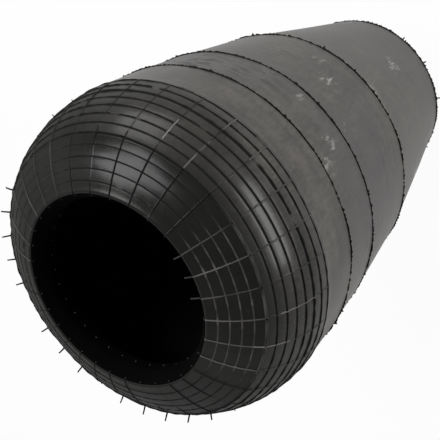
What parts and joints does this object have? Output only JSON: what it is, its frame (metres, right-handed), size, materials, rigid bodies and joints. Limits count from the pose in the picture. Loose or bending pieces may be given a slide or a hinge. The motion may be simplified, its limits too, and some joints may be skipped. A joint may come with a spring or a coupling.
{
  "type": "air spring bellows",
  "caption": "Bare rolling-lobe air spring bellows: tapered cord-reinforced rubber sleeve with a ringed domed shoulder, wire-cored beads and open ends.",
  "frame": {"origin": "centre of the rear rim, on the plane that the rim stands on", "axes": "+Z along the bellows axis from the rear bead to the domed front bead; X and Y are the same all round, and the picture looks along +Y from above"},
  "size_m": [0.271, 0.2708, 0.4039],
  "materials": {
    "cover_rubber": "matt, dusty, as moulded",
    "cord_ply": "rubberised cord",
    "liner_rubber": "smooth",
    "bead_wire": "brass-coated steel wire",
    "core_wrap": "matt",
    "filler_rubber": "matt",
    "toe_rubber": "semi-matt"
  },
  "bodies": {
    "rear_bead": {"rear_wire_core": "bead_wire", "rear_core_wrap": "core_wrap", "rear_bead_filler": "filler_rubber", "rear_toe_strip": "toe_rubber"},
    "sleeve": {"outer_cover": "cover_rubber", "outer_cord_ply": "cord_ply", "inner_cord_ply": "cord_ply", "inner_liner": "liner_rubber", "shoulder_vent_ribs": "cover_rubber", "shoulder_vent_spews": "cover_rubber", "rim_vent_spews": "cover_rubber"},
    "front_bead": {"front_wire_core": "bead_wire", "front_core_wrap": "core_wrap", "front_bead_filler": "filler_rubber", "front_toe_strip": "toe_rubber", "lip_vent_spews": "toe_rubber"}
  },
  "joints": [
    {"name": "lean", "type": "hinge", "parent": "rear_bead", "child": "sleeve", "pos_m": [0, 0, 0.0091], "axis": [1, 0, 0], "range_deg": [-6, 6], "stiffness_Nm_per_rad": 60, "deforming": ["outer_cover", "outer_cord_ply", "inner_cord_ply", "inner_liner"]},
    {"name": "stroke", "type": "slide", "parent": "sleeve", "child": "front_bead", "axis": [0, 0, -1], "range_m": [0, 0.1], "stiffness_N_per_m": 2000, "deforming": ["outer_cover", "outer_cord_ply", "inner_cord_ply", "inner_liner", "shoulder_vent_ribs", "shoulder_vent_spews"]}
  ]
}
